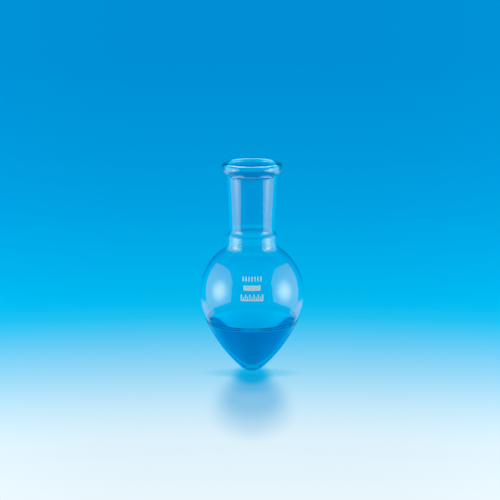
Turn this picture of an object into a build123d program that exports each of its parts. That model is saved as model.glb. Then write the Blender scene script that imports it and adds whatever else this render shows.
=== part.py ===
from build123d import *
import os
from math import acos, atan, atan2, cos, degrees, radians, sin, sqrt, tan

# Pear-shaped flask of clear borosilicate glass, blown in one piece, with a 29/42 ground
# socket at its mouth and blue liquid standing in its pointed bulb.
# Millimetres. The origin is the centre of the mouth. +Z runs up the axis and out of the
# mouth, and the flask hangs below. Outlines lie in the XZ plane and are turned about Z.

# Socket of the standard 29/42 conical joint, open at its large end
MOUTH_DIAMETER = 29.2
JOINT_LENGTH = 42.0
JOINT_TAPER = 0.1  # diameter lost for each millimetre of length
NECK_WALL = 1.5  # goes on round the waist and shoulder and down the collar

# Rolled bead round the mouth
BEAD_THICKNESS = 4.25  # from the bore to the outside
BEAD_HEIGHT = 8.2
LIP_ROUND = 1.8  # inside edge of the mouth
BEAD_FILLET = 1.0

# Collar between the neck and the bulb
COLLAR_STEP = 2.1  # how far the top of the collar stands out past the neck
WAIST_ROUND = 3.0
SHOULDER_ROUND = 4.0
COLLAR_HEIGHT = 12.1  # from the end of the ground length to the bulb
COLLAR_FLARE = 2.5  # degrees
COLLAR_FILLET = 5.0  # where the collar runs into the bulb

# Bulb, whose dome, belt, flank and tip are arcs that run into each other
DOME_RADIUS = 33.0
BELT_RADIUS = 36.0
BELT_TOP_ANGLE = 30.0  # degrees above level, where the dome passes into the belt
BELT_BASE_ANGLE = 21.5  # degrees below level, where the belt passes into the flank
FLANK_RADIUS = 97.0
TIP_RADIUS = 10.5
BULB_WALL = 1.5
TIP_WALL = 2.4  # the glass gathers at the point

# Liquid
LIQUID_DEPTH = 30.8  # above the inside of the tip
MENISCUS_RISE = 3.0
MENISCUS_WIDTH = 3.8


def turned(centre, radius, start, end):
    """Arc about a centre, from one angle to another in degrees above the horizontal."""
    return CenterArc(centre, radius, start, end - start)


def on_arc(centre, radius, angle):
    """Point of an arc at an angle in degrees above the horizontal."""
    return (centre[0] + radius * cos(radians(angle)), centre[1] + radius * sin(radians(angle)))


def bore_radius(depth):
    """Inside of the ground socket."""
    return MOUTH_DIAMETER / 2 - depth * JOINT_TAPER / 2


def neck_radius(depth):
    """Outside of the neck."""
    return bore_radius(depth) + NECK_WALL


# Lip and bead: the lip's round touches the leaning bore, and the bead's begins at its crest
LEAN = degrees(atan(JOINT_TAPER / 2))
LIP_CENTRE = (MOUTH_DIAMETER / 2 + LIP_ROUND * (1 - sin(radians(LEAN))) / cos(radians(LEAN)), -LIP_ROUND)
BEAD_ROUND = MOUTH_DIAMETER / 2 + BEAD_THICKNESS - LIP_CENTRE[0]
BEAD_FOOT = (neck_radius(BEAD_HEIGHT), -BEAD_HEIGHT)

# Waist, shoulder and collar: the waist's round runs into the shoulder's, which is COLLAR_STEP further out
WAIST_CENTRE = on_arc((neck_radius(JOINT_LENGTH), -JOINT_LENGTH), WAIST_ROUND, -LEAN)
SHOULDER_REACH = neck_radius(JOINT_LENGTH) + COLLAR_STEP - SHOULDER_ROUND * cos(radians(COLLAR_FLARE))
SHOULDER_SLOPE = degrees(acos((WAIST_CENTRE[0] - SHOULDER_REACH) / (WAIST_ROUND + SHOULDER_ROUND)))
SHOULDER_CENTRE = on_arc(WAIST_CENTRE, WAIST_ROUND + SHOULDER_ROUND, 180 + SHOULDER_SLOPE)
COLLAR_TOP = on_arc(SHOULDER_CENTRE, SHOULDER_ROUND, COLLAR_FLARE)
COLLAR_BASE_Z = -JOINT_LENGTH - COLLAR_HEIGHT
COLLAR_BASE = (COLLAR_TOP[0] + (COLLAR_TOP[1] - COLLAR_BASE_Z) * tan(radians(COLLAR_FLARE)), COLLAR_BASE_Z)

# Centres of the bulb's arcs
DOME_CENTRE = (0.0, COLLAR_BASE_Z - sqrt(DOME_RADIUS**2 - COLLAR_BASE[0] ** 2))
BELT_CENTRE = on_arc(DOME_CENTRE, DOME_RADIUS - BELT_RADIUS, BELT_TOP_ANGLE)
FLANK_CENTRE = on_arc(BELT_CENTRE, BELT_RADIUS - FLANK_RADIUS, -BELT_BASE_ANGLE)
TIP_CENTRE = (0.0, FLANK_CENTRE[1] - sqrt((FLANK_RADIUS - TIP_RADIUS) ** 2 - FLANK_CENTRE[0] ** 2))
TIP_Z = TIP_CENTRE[1] - TIP_RADIUS
TIP_INSIDE_Z = TIP_Z + TIP_WALL


def inside_tip_radius():
    """Radius of the round that touches the inside of the flank and leaves TIP_WALL of glass."""
    flank = FLANK_RADIUS - BULB_WALL
    drop = TIP_INSIDE_Z - FLANK_CENTRE[1]
    return (flank**2 - FLANK_CENTRE[0] ** 2 - drop**2) / (2 * (flank + drop))


def bulb_line(wall, start_radius, tip_radius, tip_z):
    """Arcs of the bulb from the collar to the axis, on a surface that lies a wall inside the outline."""
    start_angle = degrees(atan2(sqrt((DOME_RADIUS - wall) ** 2 - start_radius**2), start_radius))
    tip_centre = (0.0, tip_z + tip_radius)
    tip_angle = degrees(atan2(tip_centre[1] - FLANK_CENTRE[1], -FLANK_CENTRE[0]))
    return [
        turned(DOME_CENTRE, DOME_RADIUS - wall, start_angle, BELT_TOP_ANGLE),
        turned(BELT_CENTRE, BELT_RADIUS - wall, BELT_TOP_ANGLE, -BELT_BASE_ANGLE),
        turned(FLANK_CENTRE, FLANK_RADIUS - wall, -BELT_BASE_ANGLE, tip_angle),
        turned(tip_centre, tip_radius, tip_angle, -90),
    ]


def outside_line():
    """Outside of the flask, from the crest of the lip down to the point."""
    upper_bead = turned((LIP_CENTRE[0], -BEAD_ROUND), BEAD_ROUND, 90, 0)
    lower_bead = TangentArc(upper_bead @ 1, BEAD_FOOT, tangent=upper_bead % 1)
    waist = turned(WAIST_CENTRE, WAIST_ROUND, 180 - LEAN, 180 + SHOULDER_SLOPE)
    neck = Line(BEAD_FOOT, waist @ 0)
    shoulder = turned(SHOULDER_CENTRE, SHOULDER_ROUND, SHOULDER_SLOPE, COLLAR_FLARE)
    collar = Line(COLLAR_TOP, COLLAR_BASE)
    bulb = bulb_line(0, COLLAR_BASE[0], TIP_RADIUS, TIP_Z)
    return [upper_bead, lower_bead, neck, waist, shoulder, collar, *bulb]


def collar_inside():
    """Ends of the collar's inside: under the shoulder, and where it meets the inside of the dome."""
    top = Vector(*on_arc(SHOULDER_CENTRE, SHOULDER_ROUND - NECK_WALL, COLLAR_FLARE))
    down = Vector(sin(radians(COLLAR_FLARE)), -cos(radians(COLLAR_FLARE)))
    from_dome = top - Vector(*DOME_CENTRE)
    along = from_dome.dot(down)
    reach = -along - sqrt(along**2 - from_dome.dot(from_dome) + (DOME_RADIUS - BULB_WALL) ** 2)
    return top, top + down * reach


def inside_line():
    """Inside of the flask, from the crest of the lip down to the bottom of the cavity."""
    lip = turned(LIP_CENTRE, LIP_ROUND, 90, 180 - LEAN)
    waist = turned(WAIST_CENTRE, WAIST_ROUND + NECK_WALL, 180 - LEAN, 180 + SHOULDER_SLOPE)
    shoulder = turned(SHOULDER_CENTRE, SHOULDER_ROUND - NECK_WALL, SHOULDER_SLOPE, COLLAR_FLARE)
    collar_top, collar_base = collar_inside()
    collar = Line(collar_top, collar_base)
    bulb = bulb_line(BULB_WALL, collar_base.X, inside_tip_radius(), TIP_INSIDE_Z)
    return [lip, Line(lip @ 1, waist @ 0), waist, shoulder, collar, *bulb]


def rounded(section, corner, radius):
    """The section with one of its corners rounded."""
    return fillet(section.vertices().sort_by_distance(corner)[0], radius)


def glass_flask():
    """Lip, bead, ground socket, collar and bulb, blown as one wall of glass."""
    point = Line((0, TIP_Z), (0, TIP_INSIDE_Z))
    section = make_face([*outside_line(), point, *inside_line()])
    section = rounded(section, BEAD_FOOT, BEAD_FILLET)
    section = rounded(section, COLLAR_BASE, COLLAR_FILLET)
    section = rounded(section, collar_inside()[1], COLLAR_FILLET + BULB_WALL)
    return revolve(Plane.XZ * section, Axis.Z)


def blue_liquid():
    """Liquid that fills the point up to its level, and climbs the wall in a meniscus."""
    level = TIP_INSIDE_Z + LIQUID_DEPTH
    flank = FLANK_RADIUS - BULB_WALL
    contact_z = level + MENISCUS_RISE
    contact = (FLANK_CENTRE[0] + sqrt(flank**2 - (contact_z - FLANK_CENTRE[1]) ** 2), contact_z)
    edge = (contact[0] - MENISCUS_RISE * tan(radians(BELT_BASE_ANGLE)) - MENISCUS_WIDTH, level)
    meniscus = TangentArc(edge, contact, tangent=(1, 0))
    past_wall = contact + (meniscus % 1) * BULB_WALL
    beyond = DOME_RADIUS + BELT_RADIUS
    surface = [Line((0, level), edge), meniscus, Line(contact, past_wall)]
    outer = Polyline(past_wall, (beyond, past_wall.Y), (beyond, TIP_Z), (0, TIP_Z), (0, level))
    collar_base = collar_inside()[1]
    cavity = bulb_line(BULB_WALL, collar_base.X, inside_tip_radius(), TIP_INSIDE_Z)
    axis = Polyline(collar_base, (0, collar_base.Y), (0, TIP_INSIDE_Z))
    section = make_face([*cavity, axis]) & make_face([*surface, outer])
    return revolve(Plane.XZ * section, Axis.Z)


os.makedirs("parts", exist_ok=True)
for name, solid in {"glass_flask": glass_flask(), "blue_liquid": blue_liquid()}.items():
    export_step(solid, f"parts/{name}.step")
    print(name, round(solid.volume, 1), "mm3", "centre depth", round(-solid.center().Z, 1))
print("height", round(-TIP_Z, 2), "level", round(TIP_INSIDE_Z + LIQUID_DEPTH, 2))
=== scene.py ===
from math import acos, asin, atan, atan2, ceil, cos, pi, radians, sin, sqrt, tan

import bpy
from bpy.props import FloatProperty, FloatVectorProperty, IntProperty, PointerProperty
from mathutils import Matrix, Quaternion, Vector


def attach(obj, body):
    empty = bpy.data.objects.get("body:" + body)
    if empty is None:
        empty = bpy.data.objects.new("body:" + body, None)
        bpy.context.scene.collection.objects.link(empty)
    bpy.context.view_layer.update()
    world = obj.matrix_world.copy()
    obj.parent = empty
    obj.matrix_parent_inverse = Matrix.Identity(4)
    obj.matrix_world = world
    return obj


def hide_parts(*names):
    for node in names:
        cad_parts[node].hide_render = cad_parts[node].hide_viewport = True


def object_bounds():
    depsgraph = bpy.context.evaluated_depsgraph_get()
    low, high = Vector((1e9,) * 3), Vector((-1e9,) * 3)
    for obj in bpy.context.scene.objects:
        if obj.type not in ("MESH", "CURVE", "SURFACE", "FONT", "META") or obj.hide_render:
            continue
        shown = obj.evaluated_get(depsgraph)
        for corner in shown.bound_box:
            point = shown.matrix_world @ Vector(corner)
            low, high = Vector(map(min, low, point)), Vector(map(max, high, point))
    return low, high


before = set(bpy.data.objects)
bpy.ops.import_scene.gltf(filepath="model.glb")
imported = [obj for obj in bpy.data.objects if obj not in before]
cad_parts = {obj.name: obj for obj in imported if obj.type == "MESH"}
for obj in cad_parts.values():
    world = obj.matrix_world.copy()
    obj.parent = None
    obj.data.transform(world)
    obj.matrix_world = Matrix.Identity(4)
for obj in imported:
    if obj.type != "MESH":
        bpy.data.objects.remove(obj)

bl_info = {
    "name": "Pear-shaped flask",
    "version": (1, 0, 0),
    "blender": (4, 5, 0),
    "location": "3D View > Sidebar > Flask",
    "description": "Blows a pear-shaped flask with a ground socket, pours its liquid and sets its stage",
    "category": "Add Mesh",
}

# The flask hangs below the centre of its mouth, on the Z axis.
MM = 0.001
CAD_LOW, CAD_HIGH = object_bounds()


def length(name, default, description):
    """A size in metres that a user can change."""
    kind = {"subtype": "DISTANCE", "unit": "LENGTH"}
    return FloatProperty(name=name, description=description, default=default, **kind)


def turn(name, default, description):
    """An angle that a user can change, its default given here in degrees."""
    kind = {"subtype": "ANGLE", "unit": "ROTATION"}
    return FloatProperty(name=name, description=description, default=radians(default), **kind)


def factor(name, default, description):
    """A plain number that a user can change."""
    return FloatProperty(name=name, description=description, default=default)


def tint(name, default, description):
    """A colour that a user can change."""
    kind = {"subtype": "COLOR", "size": 4, "min": 0, "max": 1}
    return FloatVectorProperty(name=name, description=description, default=default, **kind)


# ---------------------------------------------------------------- settings


class FlaskSizes(bpy.types.PropertyGroup):
    """Sizes of the glass."""

    mouth_diameter: length("Mouth", 29.2 * MM, "Large end of the ground socket")
    joint_length: length("Ground length", 42 * MM, "Length of the ground socket")
    joint_taper: factor("Taper", 0.1, "Diameter lost for each unit of length")
    neck_wall: length("Neck wall", 1.5 * MM, "Glass round the socket")
    bead_thickness: length("Bead thickness", 4.25 * MM, "From the bore to the outside of the bead")
    bead_height: length("Bead height", 8.2 * MM, "From the lip to the foot of the bead")
    lip_round: length("Lip round", 1.8 * MM, "Round of the inside edge of the mouth")
    bead_fillet: length("Bead fillet", 1.0 * MM, "Round where the bead meets the neck")
    collar_step: length("Collar step", 2.1 * MM, "How far the top of the collar stands out past the neck")
    waist_round: length("Waist round", 3.0 * MM, "Round where the neck meets the collar")
    shoulder_round: length("Shoulder round", 4.0 * MM, "Round at the top of the collar")
    collar_height: length("Collar height", 12.1 * MM, "From the end of the ground length to the bulb")
    collar_flare: turn("Collar flare", 2.5, "Lean of the collar's side")
    collar_fillet: length("Collar fillet", 5.0 * MM, "Round where the collar meets the bulb")
    dome_radius: length("Dome radius", 33 * MM, "Arc of the bulb under the collar")
    belt_radius: length("Belt radius", 36 * MM, "Arc of the bulb at its widest")
    belt_top: turn("Belt top", 30, "Above level, where the dome passes into the belt")
    belt_base: turn("Belt base", 21.5, "Below level, where the belt passes into the flank")
    flank_radius: length("Flank radius", 97 * MM, "Arc of the bulb down to the point")
    tip_radius: length("Tip radius", 10.5 * MM, "Round of the point")
    bulb_wall: length("Bulb wall", 1.5 * MM, "Glass of the bulb")
    tip_wall: length("Tip wall", 2.4 * MM, "Glass gathered at the point")
    steps_round: IntProperty(name="Steps round", description="Steps of a full turn", default=216)


class LiquidSizes(bpy.types.PropertyGroup):
    """Sizes of the liquid."""

    depth: length("Depth", 30.8 * MM, "Level above the inside of the point")
    meniscus_rise: length("Meniscus rise", 3.0 * MM, "Climb of the liquid on the wall")
    meniscus_width: length("Meniscus width", 3.8 * MM, "Width of the climbing edge at the level")
    wetting: length("Wetting", 0.05 * MM, "How far the liquid's skin reaches into the glass, to leave no air")


class MarkSizes(bpy.types.PropertyGroup):
    """Sizes of the printed marking: a bar between a row of ticks and a short scale."""

    top: length("Top", -66.3 * MM, "Height of the marking's top edge")
    gap: length("Gap", 2.3 * MM, "Bare glass between the rows")
    tick_width: length("Tick width", 0.75 * MM, "Width of a tick")
    row_width: length("Row width", 11.7 * MM, "Width of the upper row")
    row_height: length("Row height", 2.8 * MM, "Height of the upper row")
    row_ticks: IntProperty(name="Row ticks", description="Ticks in the upper row", default=7)
    bar_width: length("Bar width", 10.5 * MM, "Width of the bar")
    bar_height: length("Bar height", 3.0 * MM, "Height of the bar")
    scale_width: length("Scale width", 13.8 * MM, "Width of the scale")
    scale_height: length("Scale height", 4.0 * MM, "Height of the scale with its base line")
    scale_ticks: IntProperty(name="Scale ticks", description="Ticks on the scale", default=11)
    short_ticks: factor("Short ticks", 0.55, "Height of the scale's short ticks, as a share of its long ones")
    base_height: length("Base height", 0.9 * MM, "Height of the scale's base line")
    thickness: length("Thickness", 0.05 * MM, "Height of the enamel on the glass")
    clearance: length("Clearance", 0.01 * MM, "Air left between the enamel and the glass")


class Finishes(bpy.types.PropertyGroup):
    """Colours and optical values."""

    glass: tint("Glass", (0.985, 0.995, 1.0, 1.0), "Tint of the clear glass")
    liquid: tint("Liquid", (0.0, 0.97, 0.99, 1.0), "Colour that the liquid lets through")
    liquid_density: factor("Liquid density", 300.0, "How fast the liquid takes up light, for each metre")
    enamel: tint("Enamel", (0.55, 0.82, 1.0, 1.0), "Enamel of the marking, which looks white in warm light")
    # painted shade: the ground glass is tinted darker in green and blue, to darken the socket
    ground_shade_tint: tint("Ground tint", (0.98, 0.81, 0.91, 1.0), "Tint of the ground glass")
    ground: factor("Ground roughness", 0.05, "Roughness of the ground socket")


class StageSettings(bpy.types.PropertyGroup):
    """Floor, light and camera."""

    camera_distance: length("Camera distance", 0.95, "From the camera to the point that it looks at")
    camera_rise: turn("Camera rise", 12.87, "Camera above the level of that point")
    target: length("Target", -56 * MM, "Height of the point that the camera looks at")
    lens: factor("Lens", 108.24, "Focal length in millimetres")
    lens_shift: factor("Lens shift", -0.004, "Sideways shift of the view, as a share of its width")
    floor_radius: length("Floor radius", 0.3, "Reach of the pale floor")
    light_distance: length("Light distance", 0.55, "From the point that the camera looks at to each light")
    box_width: length("Softbox width", 0.86, "Width of each softbox")
    box_height: length("Softbox height", 0.68, "Height of each softbox")
    box_turn: turn("Softbox turn", 85, "Each softbox's place round the flask, from the camera's side")
    box_rise: turn("Softbox rise", 10, "Each softbox's place above the level of the flask")
    box_lean: turn("Softbox lean", 15, "Lean of each softbox's top away from the camera")
    box_corner: factor("Softbox corner", 0.3, "How far its near top corner is cut, as a share of the softbox")
    light_color: tint("Light colour", (1.0, 0.86, 0.58, 1.0), "Colour of the softboxes and the rim light")
    box_strength: factor("Softbox strength", 2.0, "Brightness of the softboxes")
    rim_rise: turn("Rim light rise", 50, "Place of the light behind the flask, above its level")
    rim_width: length("Rim light width", 0.50, "Width of the light behind the flask")
    rim_height: length("Rim light height", 0.25, "Height of the light behind the flask")
    rim_strength: factor("Rim light strength", 4.5, "Brightness of the light behind the flask")
    core_strength: factor("Core strength", 8.5, "Further brightness where each softbox's lamp shows through")
    core_reach: factor("Core reach", 0.34, "Reach of the lamp's glow, as a share of the softbox")
    core_squash: factor("Core squash", 0.95, "Width of the glow over its height, as shares of the softbox")
    core_aside: factor("Core aside", 0.107, "Place of the lamp towards the camera, as a share of the width")
    core_height: factor("Core height", -0.132, "Height of the lamp over the middle, as a share of the height")


# ---------------------------------------------------------------- outline of the flask


def on_arc(centre, radius, angle):
    """Point of an arc in the XZ plane, at an angle above level."""
    return Vector((centre.x + radius * cos(angle), 0, centre.z + radius * sin(angle)))


def angle_of(point, centre):
    """Angle above level of a point as seen from a centre."""
    return atan2(point.z - centre.z, point.x - centre.x)


def fillet_centre(start, end, radius, arc_centre, reach):
    """Centre of the round that touches the right side of a line and lies at a reach from an arc's centre."""
    along = (end - start).normalized()
    side = Vector((-along.z, 0, along.x))
    base = start + side * radius - arc_centre
    half = base.dot(along)
    return arc_centre + base + along * (-half - sqrt(half**2 - base.length_squared + reach**2))


class Outline:
    """Centres and corners of the flask's section in the XZ plane, worked out from its sizes."""

    def __init__(self, sizes):
        self.sizes = sizes
        self.lean = atan(sizes.joint_taper / 2)
        lip_x = sizes.mouth_diameter / 2 + sizes.lip_round * (1 - sin(self.lean)) / cos(self.lean)
        self.lip = Vector((lip_x, 0, -sizes.lip_round))
        self.bead_round = sizes.mouth_diameter / 2 + sizes.bead_thickness - lip_x
        self.bead = Vector((lip_x, 0, -self.bead_round))
        self.bead_foot = Vector((self.neck(sizes.bead_height), 0, -sizes.bead_height))
        self.neck_end = Vector((self.neck(sizes.joint_length), 0, -sizes.joint_length))
        self.waist = on_arc(self.neck_end, sizes.waist_round, -self.lean)
        shoulder_x = self.neck_end.x + sizes.collar_step - sizes.shoulder_round * cos(sizes.collar_flare)
        self.slope = acos((self.waist.x - shoulder_x) / (sizes.waist_round + sizes.shoulder_round))
        self.shoulder = on_arc(self.waist, sizes.waist_round + sizes.shoulder_round, pi + self.slope)
        self.collar_top = on_arc(self.shoulder, sizes.shoulder_round, sizes.collar_flare)
        base_z = -sizes.joint_length - sizes.collar_height
        widening = (self.collar_top.z - base_z) * tan(sizes.collar_flare)
        self.collar_base = Vector((self.collar_top.x + widening, 0, base_z))
        self.dome = Vector((0, 0, base_z - sqrt(sizes.dome_radius**2 - self.collar_base.x**2)))
        self.belt = on_arc(self.dome, sizes.dome_radius - sizes.belt_radius, sizes.belt_top)
        self.flank = on_arc(self.belt, sizes.belt_radius - sizes.flank_radius, -sizes.belt_base)
        tip_reach = sizes.flank_radius - sizes.tip_radius
        self.tip = Vector((0, 0, self.flank.z - sqrt(tip_reach**2 - self.flank.x**2)))
        self.point = self.tip - Vector((0, 0, sizes.tip_radius))
        self.cavity = self.point + Vector((0, 0, sizes.tip_wall))
        inner_flank = sizes.flank_radius - sizes.bulb_wall
        drop = self.cavity.z - self.flank.z
        inner_round = (inner_flank**2 - self.flank.x**2 - drop**2) / (2 * (inner_flank + drop))
        self.inner_tip = self.cavity + Vector((0, 0, inner_round))

    def bore(self, depth):
        """Inside radius of the ground socket at a depth."""
        return self.sizes.mouth_diameter / 2 - depth * self.sizes.joint_taper / 2

    def neck(self, depth):
        """Outside radius of the neck at a depth."""
        return self.bore(depth) + self.sizes.neck_wall


# ---------------------------------------------------------------- drawing and turning


class Pen:
    """Draws a section in the XZ plane as a chain of edges, one extruded or spun vertex after another."""

    FINE_TURN = radians(6)  # longest step round an arc
    FINE_LENGTH = 1.5 * MM  # longest edge of the section
    SAME_PLACE = 0.002 * MM  # points nearer than this are merged

    def __init__(self, name, start):
        bpy.ops.object.select_all(action="DESELECT")
        bpy.ops.mesh.primitive_plane_add(size=MM, location=start)
        bpy.ops.object.transform_apply(location=True, rotation=True, scale=True)
        self.piece = bpy.context.object
        self.piece.name = self.piece.data.name = name
        bpy.ops.object.mode_set(mode="EDIT")
        bpy.ops.mesh.select_all(action="SELECT")
        bpy.ops.mesh.merge(type="CENTER")
        bpy.ops.mesh.select_mode(type="VERT")
        self.at = start.copy()

    def line(self, end):
        """Straight to a point."""
        steps = max(1, ceil((end - self.at).length / self.FINE_LENGTH))
        step = (end - self.at) / steps
        for _ in range(steps):
            bpy.ops.mesh.extrude_vertices_move(TRANSFORM_OT_translate={"value": step})
        self.at = end.copy()

    def arc(self, centre, end_angle):
        """Round a centre to an angle above level, the short way."""
        start_angle = angle_of(self.at, centre)
        angle = (end_angle - start_angle + pi) % (2 * pi) - pi
        radius = (self.at - centre).length
        steps = max(2, ceil(abs(angle) / self.FINE_TURN), ceil(abs(angle) * radius / self.FINE_LENGTH))
        bpy.ops.mesh.spin(steps=steps, angle=angle, center=centre, axis=(0, 1, 0))
        self.at = on_arc(centre, radius, end_angle)

    def turned(self, steps):
        """The finished section spun about Z into a closed skin."""
        bpy.ops.mesh.select_all(action="SELECT")
        bpy.ops.mesh.spin(steps=steps, angle=2 * pi, center=(0, 0, 0), axis=(0, 0, 1))
        bpy.ops.mesh.select_all(action="SELECT")
        bpy.ops.mesh.remove_doubles(threshold=self.SAME_PLACE)
        bpy.ops.mesh.normals_make_consistent(inside=False)
        bpy.ops.object.mode_set(mode="OBJECT")
        bpy.ops.object.shade_smooth()
        return self.piece


def draw_outside(pen, outline):
    """From the point up to the crest of the lip."""
    sizes = outline.sizes
    pen.arc(outline.tip, angle_of(outline.tip, outline.flank))
    pen.arc(outline.flank, -sizes.belt_base)
    pen.arc(outline.belt, sizes.belt_top)
    reach = sizes.dome_radius + sizes.collar_fillet
    foot = fillet_centre(outline.collar_top, outline.collar_base, sizes.collar_fillet, outline.dome, reach)
    pen.arc(outline.dome, angle_of(foot, outline.dome))
    pen.arc(foot, pi + sizes.collar_flare)
    pen.line(outline.collar_top)
    pen.arc(outline.shoulder, outline.slope)
    pen.arc(outline.waist, pi - outline.lean)
    draw_bead(pen, outline)


def draw_bead(pen, outline):
    """Up the neck, round the fillet and the bead's underside, and over the bead to the crest of the lip."""
    fillet = outline.sizes.bead_fillet
    rise = outline.bead_foot.z + outline.bead_round
    overhang = outline.bead.x + outline.bead_round - outline.bead_foot.x
    under_round = (overhang**2 + rise**2) / (2 * overhang)
    under = Vector((outline.bead.x + outline.bead_round - under_round, 0, -outline.bead_round))
    foot = fillet_centre(outline.neck_end, outline.bead_foot, -fillet, under, under_round + fillet)
    pen.line(on_arc(foot, fillet, pi - outline.lean))
    pen.arc(foot, angle_of(under, foot))
    pen.arc(under, 0)
    pen.arc(outline.bead, pi / 2)


def draw_inside(pen, outline, contact_z):
    """From the crest of the lip to the bottom of the cavity, with a point where the liquid's edge lies."""
    sizes = outline.sizes
    pen.arc(outline.lip, pi - outline.lean)
    pen.line(on_arc(outline.waist, sizes.waist_round + sizes.neck_wall, pi - outline.lean))
    pen.arc(outline.waist, pi + outline.slope)
    pen.arc(outline.shoulder, sizes.collar_flare)
    collar_base = pen.at + outline.collar_base - outline.collar_top
    fillet = sizes.collar_fillet + sizes.bulb_wall
    foot = fillet_centre(pen.at, collar_base, fillet, outline.dome, sizes.dome_radius + sizes.collar_fillet)
    pen.line(on_arc(foot, fillet, pi + sizes.collar_flare))
    pen.arc(foot, angle_of(outline.dome, foot))
    pen.arc(outline.dome, sizes.belt_top)
    pen.arc(outline.belt, -sizes.belt_base)
    pen.arc(outline.flank, asin((contact_z - outline.flank.z) / (sizes.flank_radius - sizes.bulb_wall)))
    draw_flank(pen, outline)


def draw_flank(pen, outline):
    """Inside of the flank and tip, down to the axis."""
    pen.arc(outline.flank, angle_of(outline.inner_tip, outline.flank))
    pen.arc(outline.inner_tip, -pi / 2)


# ---------------------------------------------------------------- materials


def new_material(name):
    """A node material, its nodes, its links and its shader."""
    material = bpy.data.materials.new(name)
    material.use_nodes = True
    tree = material.node_tree
    return material, tree.nodes, tree.links, tree.nodes["Principled BSDF"]


def bare_material(name):
    """A node material with its output and no shader yet."""
    material, nodes, links, shader = new_material(name)
    nodes.remove(shader)
    return material, nodes, links


def noise(nodes, links, scale, detail=2.0):
    """Noise on the object's own coordinates."""
    place = nodes.new("ShaderNodeTexCoord")
    texture = nodes.new("ShaderNodeTexNoise")
    texture.inputs["Scale"].default_value = scale
    texture.inputs["Detail"].default_value = detail
    links.new(place.outputs["Object"], texture.inputs["Vector"])
    return texture.outputs["Fac"]


def spread(nodes, links, value, low, high):
    """A value from 0 to 1 spread between two others."""
    node = nodes.new("ShaderNodeMapRange")
    node.inputs["To Min"].default_value = low
    node.inputs["To Max"].default_value = high
    links.new(value, node.inputs["Value"])
    return node.outputs["Result"]


def bump(nodes, links, height, distance, strength=1.0):
    """A bump from a height."""
    node = nodes.new("ShaderNodeBump")
    node.inputs["Distance"].default_value = distance
    node.inputs["Strength"].default_value = strength
    links.new(height, node.inputs["Height"])
    return node.outputs["Normal"]


GLASS_IOR = 1.474
WATER_IOR = 1.333

# Grain of each finish for each metre, and the height of what stands out
WAVE_SCALE = 55.0
WAVE_HEIGHT = 0.06 * MM
WAVE_STRENGTH = 0.5
GRIND_SCALE = 2500.0
GRIND_LOW = 0.7  # share of the ground glass's roughness where it is smoothest
GRIND_HIGH = 1.3  # and where it is roughest
ENAMEL_SCALE = 3000.0
ENAMEL_HEIGHT = 0.02 * MM
ENAMEL_SMOOTH = 0.35
ENAMEL_ROUGH = 0.6


def clear_glass(finish, name="clear borosilicate glass", ior=GLASS_IOR):
    """Blown borosilicate glass, clear, with the faint waves of the blowing."""
    material, nodes, links, shader = new_material(name)
    shader.inputs["Base Color"].default_value = finish.glass
    shader.inputs["Transmission Weight"].default_value = 1.0
    shader.inputs["IOR"].default_value = ior
    shader.inputs["Roughness"].default_value = 0.0
    waves = noise(nodes, links, WAVE_SCALE, detail=1.0)
    links.new(bump(nodes, links, waves, WAVE_HEIGHT, WAVE_STRENGTH), shader.inputs["Normal"])
    return material


def ground_glass(finish):
    """Inside of the ground socket, cut fine and wiped clean, with a tint darker in green and blue as painted
    shade.
    """
    material, nodes, links, shader = new_material("ground glass")
    # painted shade: this tint darkens what shows through the socket
    shader.inputs["Base Color"].default_value = finish.ground_shade_tint
    shader.inputs["Transmission Weight"].default_value = 1.0
    shader.inputs["IOR"].default_value = GLASS_IOR
    grain = noise(nodes, links, GRIND_SCALE)
    roughness = spread(nodes, links, grain, finish.ground * GRIND_LOW, finish.ground * GRIND_HIGH)
    links.new(roughness, shader.inputs["Roughness"])
    return material


def blue_liquid(finish, name="dyed water", ior=WATER_IOR):
    """Water with a blue dye that takes up red light."""
    material, nodes, links, shader = new_material(name)
    shader.inputs["Base Color"].default_value = (1, 1, 1, 1)
    shader.inputs["Transmission Weight"].default_value = 1.0
    shader.inputs["IOR"].default_value = ior
    shader.inputs["Roughness"].default_value = 0.0
    dye = nodes.new("ShaderNodeVolumeAbsorption")
    dye.inputs["Color"].default_value = finish.liquid
    dye.inputs["Density"].default_value = finish.liquid_density
    links.new(dye.outputs["Volume"], nodes["Material Output"].inputs["Volume"])
    return material


def white_enamel(finish):
    """Fired enamel, slightly uneven."""
    material, nodes, links, shader = new_material("white enamel")
    shader.inputs["Base Color"].default_value = finish.enamel
    grain = noise(nodes, links, ENAMEL_SCALE)
    links.new(spread(nodes, links, grain, ENAMEL_SMOOTH, ENAMEL_ROUGH), shader.inputs["Roughness"])
    links.new(bump(nodes, links, grain, ENAMEL_HEIGHT), shader.inputs["Normal"])
    return material


# ---------------------------------------------------------------- operators


# Which of the piece's materials a face takes, where it isn't the first: the flask's in the ground
# socket and against the liquid, and the liquid's against the glass
GROUND = 1
WETTED = 2
AGAINST_GLASS = 1


def contact_height(outline, liquid):
    """Height where the liquid's edge meets the glass."""
    return outline.cavity.z + liquid.depth + liquid.meniscus_rise


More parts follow.
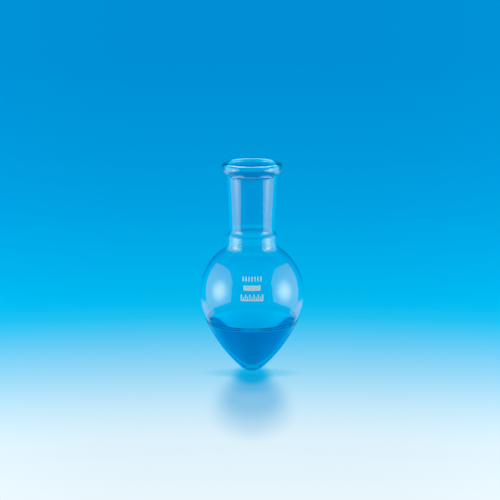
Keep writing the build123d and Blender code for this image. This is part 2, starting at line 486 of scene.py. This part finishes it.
class FLASK_OT_blow(bpy.types.Operator):
    """Blow the flask: lip, bead, ground socket, collar and bulb in one wall of glass"""

    bl_idname = "flask.blow"
    bl_label = "Blow Flask"

    def execute(self, context):
        scene = context.scene
        sizes, finishes = scene.flask_sizes, scene.flask_finishes
        outline = Outline(sizes)
        contact_z = contact_height(outline, scene.liquid_sizes)
        pen = Pen("blown_flask", outline.point)
        draw_outside(pen, outline)
        draw_inside(pen, outline, contact_z)
        flask = pen.turned(sizes.steps_round)
        flask.data.materials.append(clear_glass(finishes))
        flask.data.materials.append(ground_glass(finishes))
        flask.data.materials.append(clear_glass(finishes, "glass against the liquid", GLASS_IOR / WATER_IOR))
        for face in flask.data.polygons:
            middle = face.center
            faces_in = face.normal.x * middle.x + face.normal.y * middle.y < 0
            if faces_in and -sizes.joint_length < middle.z < -sizes.lip_round:
                face.material_index = GROUND
            elif faces_in and middle.z < contact_z:
                face.material_index = WETTED
        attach(flask, "root")
        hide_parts("glass_flask")
        return {"FINISHED"}


class FLASK_OT_pour(bpy.types.Operator):
    """Pour the liquid, with its meniscus"""

    bl_idname = "flask.pour"
    bl_label = "Pour Liquid"

    def execute(self, context):
        scene = context.scene
        glass, sizes = scene.flask_sizes, scene.liquid_sizes
        outline = Outline(glass)
        level = outline.cavity.z + sizes.depth
        top = contact_height(outline, sizes)
        reach = glass.flank_radius - glass.bulb_wall + sizes.wetting
        contact = Vector((outline.flank.x + sqrt(reach**2 - (top - outline.flank.z) ** 2), 0, top))
        # The edge climbs on one arc, which leaves the level without a corner and ends at the glass
        run = sizes.meniscus_rise * tan(glass.belt_base) + sizes.meniscus_width
        curve = (run**2 + sizes.meniscus_rise**2) / (2 * sizes.meniscus_rise)
        centre = Vector((contact.x - run, 0, level + curve))
        pen = Pen("poured_liquid", Vector((0, 0, level)))
        pen.line(Vector((contact.x - run, 0, level)))
        pen.arc(centre, angle_of(contact, centre))
        draw_flank(pen, outline)
        liquid = pen.turned(glass.steps_round)
        liquid.data.materials.append(blue_liquid(scene.flask_finishes))
        liquid.data.materials.append(blue_liquid(scene.flask_finishes, "dyed water against the glass", 1.0))
        for face in liquid.data.polygons:
            if face.normal.z < 0:
                face.material_index = AGAINST_GLASS
        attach(liquid, "root")
        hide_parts("blue_liquid")
        return {"FINISHED"}


# Mesh of the print before it is pressed on, and how far before the flask it starts
PRINT_GRAIN = 0.4 * MM
PRINT_AHEAD = 5 * MM


def print_field(aside, base, width, height):
    """A fine flat grid in front of the flask, to be pressed on to it, from its middle and its lower edge."""
    place = (aside, CAD_LOW.y - PRINT_AHEAD, base + height / 2)
    steps = {"x_subdivisions": ceil(width / PRINT_GRAIN), "y_subdivisions": ceil(height / PRINT_GRAIN)}
    bpy.ops.mesh.primitive_grid_add(size=1, location=place, rotation=(pi / 2, 0, 0), **steps)
    field = bpy.context.object
    field.scale = (width, height, 1)
    bpy.ops.object.transform_apply(location=True, rotation=True, scale=True)
    return field


def print_ticks(count, width, tick_width, base, height):
    """A row of ticks, evenly spaced over a width. The height is a function of the tick's number."""
    step = (width - tick_width) / (count - 1)
    return [print_field((i - (count - 1) / 2) * step, base, tick_width, height(i)) for i in range(count)]


class FLASK_OT_mark(bpy.types.Operator):
    """Print the marking on the bulb: ticks, a bar and a short scale in white enamel"""

    bl_idname = "flask.mark"
    bl_label = "Print Marking"

    def execute(self, context):
        sizes = context.scene.mark_sizes
        row_base = sizes.top - sizes.row_height
        bar_base = row_base - sizes.gap - sizes.bar_height
        scale_base = bar_base - sizes.gap - sizes.scale_height
        tall = sizes.scale_height - sizes.base_height
        rises = (tall, tall * sizes.short_ticks)
        tick = sizes.tick_width
        bpy.ops.object.select_all(action="DESELECT")
        fields = print_ticks(sizes.row_ticks, sizes.row_width, tick, row_base, lambda i: sizes.row_height)
        fields.append(print_field(0, bar_base, sizes.bar_width, sizes.bar_height))
        fields.append(print_field(0, scale_base, sizes.scale_width, sizes.base_height))
        ticks_base = scale_base + sizes.base_height
        fields += print_ticks(sizes.scale_ticks, sizes.scale_width, tick, ticks_base, lambda i: rises[i % 2])
        for field in fields:
            field.select_set(True)
        bpy.ops.object.join()
        mark = context.object
        mark.name = mark.data.name = "printed_mark"
        press = mark.modifiers.new("press", "SHRINKWRAP")
        press.target = bpy.data.objects["blown_flask"]
        press.wrap_method = "PROJECT"
        press.use_project_y = True
        press.wrap_mode = "ABOVE_SURFACE"
        press.offset = sizes.clearance
        bpy.ops.object.modifier_apply(modifier=press.name)
        enamel = mark.modifiers.new("enamel", "SOLIDIFY")
        enamel.thickness = sizes.thickness
        enamel.offset = 1
        bpy.ops.object.modifier_apply(modifier=enamel.name)
        mark.data.materials.append(white_enamel(context.scene.flask_finishes))
        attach(mark, "root")
        return {"FINISHED"}


# ---------------------------------------------------------------- stage


LIGHT_BOUNCES = 32
CLIP_START = 0.01
CLIP_END = 20


class FLASK_OT_stage(bpy.types.Operator):
    """Set the floor, the light and the camera"""

    bl_idname = "flask.stage"
    bl_label = "Set Stage"

    def execute(self, context):
        scene = context.scene
        stage = scene.flask_stage
        set_camera(scene, stage)
        set_world(scene)
        set_floor(stage)
        set_softbox("softbox_left", -1, stage)
        set_softbox("softbox_right", 1, stage)
        set_rim_light(stage)
        scene.view_settings.view_transform = "Standard"
        scene.cycles.max_bounces = LIGHT_BOUNCES
        scene.cycles.transmission_bounces = LIGHT_BOUNCES
        scene.cycles.glossy_bounces = LIGHT_BOUNCES
        return {"FINISHED"}


def set_camera(scene, stage):
    """A long lens, a little above the flask."""
    camera = bpy.data.cameras.new("camera")
    camera.lens = stage.lens
    camera.shift_x = stage.lens_shift
    camera.clip_start = CLIP_START
    camera.clip_end = CLIP_END
    holder = bpy.data.objects.new("camera", camera)
    scene.collection.objects.link(holder)
    target = Vector((0, 0, stage.target))
    back = Vector((0, -cos(stage.camera_rise), sin(stage.camera_rise)))
    holder.location = target + back * stage.camera_distance
    holder.rotation_euler = back.to_track_quat("Z", "Y").to_euler()
    scene.camera = holder


def linear(red, green, blue):
    """A display colour from 0 to 255 as light, by the standard curve of displays."""
    def light(value):
        value /= 255
        return value / 12.92 if value <= 0.04045 else ((value + 0.055) / 1.055) ** 2.4
    return (light(red), light(green), light(blue), 1.0)


# Colour by the height of the direction, which is -1 straight down and 1 straight up: first the
# sweep that the eye sees, through the floor too and above level as below it, and then the blue
# room that the glass gathers in
SWEEP = [
    (-0.42, (246, 251, 253)),
    (-0.34, (220, 241, 251)),
    (-0.321, (194, 232, 250)),
    (-0.3025, (155, 217, 246)),
    (-0.2836, (104, 203, 244)),
    (-0.2741, (70, 197, 242)),
    (-0.2646, (21, 191, 241)),
    (-0.255, (0, 185, 239)),
    (-0.237, (0, 177, 235)),
    (-0.197, (0, 162, 226)),
    (-0.158, (0, 152, 218)),
    (-0.10, (0, 143, 211)),
]
ROOM = [
    (-1.0, (0, 190, 244)),
    (-0.70, (0, 194, 246)),
    (-0.50, (0, 176, 234)),
    (-0.33, (0, 176, 234)),
    (-0.25, (0, 178, 235)),
    (-0.20, (0, 169, 230)),
    (-0.10, (0, 146, 213)),
    (0.0, (0, 128, 198)),
    (0.10, (0, 131, 196)),
    (0.42, (0, 130, 196)),
    (0.52, (0, 180, 233)),
    (0.75, (0, 180, 233)),
    (0.90, (0, 140, 205)),
    (1.0, (0, 140, 205)),
]

# What the room turns to at both sides, and how far aside it does
SIDES = (0, 180, 234)
SIDES_SET_IN = (0.33, 0.75)

# The lit sheet behind the flask as its gloss shows it: its light, and the height, the distance
# to the back and the distance aside over which it sets in
TABLE = (1.6, 1.0, 0.9, 1.0)
TABLE_TOP = (-0.25, -0.33)
TABLE_FOOT = (-0.54, -0.46)
TABLE_BACK = (0.05, 0.25)
TABLE_ASIDE = (0.3, 0.8)

# Brightness of the room on its way to both sides, and, in gloss alone, on its way to the front:
# where the change starts and ends, and the brightness there
BRIGHT_ASIDE = (0.06, 0.3, 1.0, 1.12)
DIM_FRONT = (-0.2, -0.8, 1.0, 0.3)

WHITE = (1, 1, 1, 1)


def feed(links, socket, value):
    """Link a socket to another, or set it to a plain value."""
    if isinstance(value, bpy.types.NodeSocket):
        links.new(value, socket)
    else:
        socket.default_value = value


def calculate(nodes, links, operation, *values):
    """Result of a math node on sockets and plain numbers."""
    node = nodes.new("ShaderNodeMath")
    node.operation = operation
    for socket, value in zip(node.inputs, values):
        feed(links, socket, value)
    return node.outputs["Value"]


def blend(nodes, links, share, first, second, mode="MIX"):
    """A colour on its way from a first to a second one."""
    node = nodes.new("ShaderNodeMix")
    node.data_type = "RGBA"
    node.blend_type = mode
    feed(links, node.inputs["Factor"], share)
    feed(links, node.inputs["A"], first)
    feed(links, node.inputs["B"], second)
    return node.outputs["Result"]


def ease(nodes, links, value, start, end, low, high):
    """One level passing smoothly into another while a value runs from start to end."""
    node = nodes.new("ShaderNodeMapRange")
    node.interpolation_type = "SMOOTHSTEP"
    node.inputs["From Min"].default_value = start
    node.inputs["From Max"].default_value = end
    node.inputs["To Min"].default_value = low
    node.inputs["To Max"].default_value = high
    links.new(value, node.inputs["Value"])
    return node.outputs["Result"]


def height_ramp(nodes, links, height, colors):
    """Colours by height, with straight blends between them."""
    place = nodes.new("ShaderNodeMapRange")
    place.inputs["From Min"].default_value = -1
    links.new(height, place.inputs["Value"])
    ramp = nodes.new("ShaderNodeValToRGB")
    stops = ramp.color_ramp.elements
    while len(stops) < len(colors):
        stops.new(0.5)
    for stop, (level, color) in zip(stops, colors):
        stop.position = (level + 1) / 2
        stop.color = linear(*color)
    links.new(place.outputs["Result"], ramp.inputs["Fac"])
    return ramp.outputs["Color"]


def distance_from(nodes, links, centre, stretch):
    """Distance from a centre on the object's own coordinates, each axis counted by its stretch."""
    place = nodes.new("ShaderNodeTexCoord")
    offset = nodes.new("ShaderNodeVectorMath")
    offset.operation = "SUBTRACT"
    offset.inputs[1].default_value = centre
    scaled = nodes.new("ShaderNodeVectorMath")
    scaled.operation = "MULTIPLY"
    scaled.inputs[1].default_value = stretch
    size = nodes.new("ShaderNodeVectorMath")
    size.operation = "LENGTH"
    links.new(place.outputs["Object"], offset.inputs[0])
    links.new(offset.outputs["Vector"], scaled.inputs[0])
    links.new(scaled.outputs["Vector"], size.inputs[0])
    return size.outputs["Value"]


def table_share(nodes, links, toward, aside, ray):
    """How much a direction shows of the lit sheet: low behind the flask, to both sides, in gloss alone."""
    low = calculate(nodes, links, "MULTIPLY", ease(nodes, links, toward["Z"], *TABLE_TOP, 0.0, 1.0),
                    ease(nodes, links, toward["Z"], *TABLE_FOOT, 0.0, 1.0))
    behind = calculate(nodes, links, "MULTIPLY", ease(nodes, links, toward["Y"], *TABLE_BACK, 0.0, 1.0),
                       ease(nodes, links, aside, *TABLE_ASIDE, 0.0, 1.0))
    low_behind = calculate(nodes, links, "MULTIPLY", low, behind)
    in_gloss = calculate(nodes, links, "SUBTRACT", ray["Is Glossy Ray"], ray["Is Transmission Ray"])
    return calculate(nodes, links, "MULTIPLY", low_behind, in_gloss)


def room_strength(nodes, links, toward, aside, ray):
    """Brightness by direction: more to both sides, and in gloss alone less from the camera's side."""
    side = ease(nodes, links, aside, *BRIGHT_ASIDE)
    front = ease(nodes, links, toward["Y"], *DIM_FRONT)
    front = calculate(nodes, links, "MAXIMUM", front, ray["Is Transmission Ray"])
    front = calculate(nodes, links, "MAXIMUM", front, ray["Is Camera Ray"])
    return calculate(nodes, links, "MULTIPLY", side, front)


def set_world(scene):
    """The sweep for the eye, pale below and blue above, and a blue room for the glass and its gloss."""
    world = bpy.data.worlds.new("sweep")
    world.use_nodes = True
    scene.world = world
    nodes, links = world.node_tree.nodes, world.node_tree.links
    place = nodes.new("ShaderNodeTexCoord")
    split = nodes.new("ShaderNodeSeparateXYZ")
    links.new(place.outputs["Generated"], split.inputs["Vector"])
    toward, ray = split.outputs, nodes.new("ShaderNodeLightPath").outputs
    aside = calculate(nodes, links, "ABSOLUTE", toward["X"])
    below = calculate(nodes, links, "MULTIPLY", calculate(nodes, links, "ABSOLUTE", toward["Z"]), -1.0)
    sides = ease(nodes, links, aside, *SIDES_SET_IN, 0.0, 1.0)
    room = blend(nodes, links, sides, height_ramp(nodes, links, toward["Z"], ROOM), linear(*SIDES))
    room = blend(nodes, links, table_share(nodes, links, toward, aside, ray), room, TABLE)
    sweep = height_ramp(nodes, links, below, SWEEP)
    seen = blend(nodes, links, ray["Is Camera Ray"], room, sweep)
    links.new(seen, nodes["Background"].inputs["Color"])
    links.new(room_strength(nodes, links, toward, aside, ray), nodes["Background"].inputs["Strength"])


# Painted pools of light and shade, for the blue light and blurred reflection the flask throws on the sheet:
# how far before the point, half width, half depth, and what each pool leaves of red, green and blue
PAINTED_POOLS = [
    (0.070, 0.027, 0.066, (0.66, 0.80, 0.90)),
    (0.052, 0.022, 0.050, (0.66, 0.86, 0.94)),
    (0.026, 0.017, 0.026, (0.62, 0.90, 0.97)),
    (0.006, 0.032, 0.012, (0.60, 0.88, 0.95)),
    (0.010, 0.0145, 0.025, (0.03, 0.75, 0.90)),
]
PAINTED_POOL_FADE = (0.45, 1.1)  # from where to where a pool fades, as shares of its half width and depth
FLOOR_EDGES = 96


def set_floor(stage):
    """A pale sheet under the point, which shows the sweep and painted pools for the blue light and the
    reflection that the flask throws on it.
    """
    bpy.ops.object.select_all(action="DESELECT")
    bpy.ops.mesh.primitive_circle_add(vertices=FLOOR_EDGES, radius=stage.floor_radius, fill_type="NGON",
                                      location=(0, 0, CAD_LOW.z))
    bpy.ops.object.transform_apply(location=True, rotation=True, scale=True)
    floor = bpy.context.object
    floor.name = floor.data.name = "floor"
    material, nodes, links = bare_material("pale sheet")
    color = WHITE
    # painted light and shade: each pool tints what shows through the sheet, darker and bluer near the point
    for ahead, width, depth, left in PAINTED_POOLS:
        distance = distance_from(nodes, links, (0, -ahead, CAD_LOW.z), (1 / width, 1 / depth, 1))
        painted_pool = blend(nodes, links, ease(nodes, links, distance, *PAINTED_POOL_FADE, 1.0, 0.0), WHITE, (*left, 1))
        color = blend(nodes, links, 1.0, color, painted_pool, "MULTIPLY")
    see = nodes.new("ShaderNodeBsdfTransparent")
    links.new(color, see.inputs["Color"])
    links.new(see.outputs["BSDF"], nodes["Material Output"].inputs["Surface"])
    floor.data.materials.append(material)
    floor.visible_glossy = floor.visible_transmission = False


def add_light(name, away, width, height, lean, stage):
    """A glowing plane that faces the flask, seen in its gloss and not through its glass.

    Gives its nodes, its links and the socket of its strength.
    """
    bpy.ops.object.select_all(action="DESELECT")
    bpy.ops.mesh.primitive_plane_add(size=1)
    plane = bpy.context.object
    plane.name = plane.data.name = name
    plane.scale = (width, height, 1)
    plane.rotation_euler = (away.to_track_quat("Z", "Y") @ Quaternion((0, 0, 1), lean)).to_euler()
    plane.location = away * stage.light_distance + Vector((0, 0, stage.target))
    plane.visible_camera = plane.visible_transmission = False
    material, nodes, links = bare_material(name)
    glow = nodes.new("ShaderNodeEmission")
    glow.inputs["Color"].default_value = stage.light_color
    links.new(glow.outputs["Emission"], nodes["Material Output"].inputs["Surface"])
    plane.data.materials.append(material)
    return nodes, links, glow.inputs["Strength"]


def set_rim_light(stage):
    """A light high behind the flask, which draws the crest of its lip."""
    away = Vector((0, cos(stage.rim_rise), sin(stage.rim_rise)))
    strength = add_light("rim_light", away, stage.rim_width, stage.rim_height, 0, stage)[-1]
    strength.default_value = stage.rim_strength


def cut_corner(toward, reach):
    """Cut the top corner of the active plane on one side."""
    bpy.ops.object.mode_set(mode="EDIT")
    bpy.ops.mesh.select_mode(type="VERT")
    bpy.ops.mesh.select_all(action="DESELECT")
    bpy.ops.object.mode_set(mode="OBJECT")
    for vertex in bpy.context.object.data.vertices:
        vertex.select = vertex.co.x * toward > 0 and vertex.co.y > 0
    bpy.ops.object.mode_set(mode="EDIT")
    bpy.ops.mesh.bevel(offset=reach, affect="VERTICES")
    bpy.ops.object.mode_set(mode="OBJECT")


# A softbox's own light: from where to where it falls off, as shares of the softbox, and its
# brightness there, as shares of its strength
FALL_START = 0.1
FALL_END = 0.9
NEAR_LIGHT = 1.3
FAR_LIGHT = 0.5


def set_softbox(name, side, stage):
    """A softbox beside the flask, brightest where its lamp shows through."""
    level = cos(stage.box_rise)
    away = Vector((side * sin(stage.box_turn) * level, -cos(stage.box_turn) * level, sin(stage.box_rise)))
    lean = stage.box_lean * -side
    nodes, links, strength = add_light(name, away, stage.box_width, stage.box_height, lean, stage)
    cut_corner(-side, stage.box_corner)
    lamp = (stage.core_aside * -side, stage.core_height, 0)
    distance = distance_from(nodes, links, lamp, (1, stage.core_squash, 0))
    core = ease(nodes, links, distance, 0.0, stage.core_reach, stage.core_strength, 0.0)
    near, far = NEAR_LIGHT * stage.box_strength, FAR_LIGHT * stage.box_strength
    even = ease(nodes, links, distance, FALL_START, FALL_END, near, far)
    links.new(calculate(nodes, links, "ADD", core, even), strength)


# ---------------------------------------------------------------- panel and registration


class FLASK_PT_panel(bpy.types.Panel):
    """Steps that make the flask"""

    bl_idname = "FLASK_PT_panel"
    bl_label = "Pear-shaped Flask"
    bl_space_type = "VIEW_3D"
    bl_region_type = "UI"
    bl_category = "Flask"

    def draw(self, context):
        """One button for each step."""
        for step in STEPS:
            self.layout.operator(step.bl_idname)


STEPS = (FLASK_OT_blow, FLASK_OT_pour, FLASK_OT_mark, FLASK_OT_stage)
SETTINGS = {
    "flask_sizes": FlaskSizes,
    "liquid_sizes": LiquidSizes,
    "mark_sizes": MarkSizes,
    "flask_finishes": Finishes,
    "flask_stage": StageSettings,
}


def register():
    """Make the settings, the steps and the panel known to Blender."""
    for name, group in SETTINGS.items():
        bpy.utils.register_class(group)
        setattr(bpy.types.Scene, name, PointerProperty(type=group))
    for cls in (*STEPS, FLASK_PT_panel):
        bpy.utils.register_class(cls)


def unregister():
    """Take them all out again."""
    for cls in (FLASK_PT_panel, *reversed(STEPS)):
        bpy.utils.unregister_class(cls)
    for name, group in reversed(SETTINGS.items()):
        delattr(bpy.types.Scene, name)
        bpy.utils.unregister_class(group)


def main():
    """Make the flask, its liquid, its marking and its stage."""
    register()
    bpy.ops.flask.blow()
    bpy.ops.flask.pour()
    bpy.ops.flask.mark()
    bpy.ops.flask.stage()


if __name__ == "__main__":
    main()
